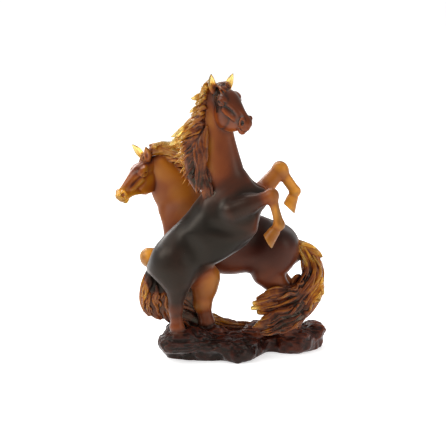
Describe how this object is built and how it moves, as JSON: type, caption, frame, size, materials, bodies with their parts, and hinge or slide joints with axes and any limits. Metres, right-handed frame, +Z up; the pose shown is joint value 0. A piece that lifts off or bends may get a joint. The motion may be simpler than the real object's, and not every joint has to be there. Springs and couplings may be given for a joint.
{
  "type": "horse figurine",
  "caption": "Horse figurine in cast amber crystal glass: a rearing horse in front of a leaping horse, joined at the flanks on a dark rock base.",
  "frame": {"origin": "on the flat underside of the rock base that the group rests on, under the middle of the base", "axes": "+Z up from the base, the longest extent; +X towards the rearing front horse's chest; +Y towards the back of the group, the shortest extent"},
  "size_m": [0.2499, 0.141, 0.3502],
  "materials": {
    "front_skin_crystal": "satin",
    "back_skin_crystal": "satin",
    "hair_crystal": "polished",
    "rock_crystal": "polished"
  },
  "bodies": {
    "root": {"back_horse_forelock": "hair_crystal", "back_horse_head": "back_skin_crystal", "back_horse_left_ear": "back_skin_crystal", "back_horse_left_foreleg": "back_skin_crystal", "back_horse_left_hindleg": "back_skin_crystal", "back_horse_mane": "hair_crystal", "back_horse_neck": "back_skin_crystal", "back_horse_right_ear": "back_skin_crystal", "back_horse_right_foreleg": "back_skin_crystal", "back_horse_right_hindleg": "back_skin_crystal", "back_horse_tail": "hair_crystal", "back_horse_trunk": "back_skin_crystal", "front_horse_forelock": "hair_crystal", "front_horse_head": "front_skin_crystal", "front_horse_left_ear": "front_skin_crystal", "front_horse_left_foreleg": "front_skin_crystal", "front_horse_left_hindleg": "front_skin_crystal", "front_horse_mane": "hair_crystal", "front_horse_neck": "front_skin_crystal", "front_horse_right_ear": "front_skin_crystal", "front_horse_right_foreleg": "front_skin_crystal", "front_horse_right_hindleg": "front_skin_crystal", "front_horse_tail": "hair_crystal", "front_horse_trunk": "front_skin_crystal", "rock_base": "rock_crystal"}
  },
  "joints": []
}
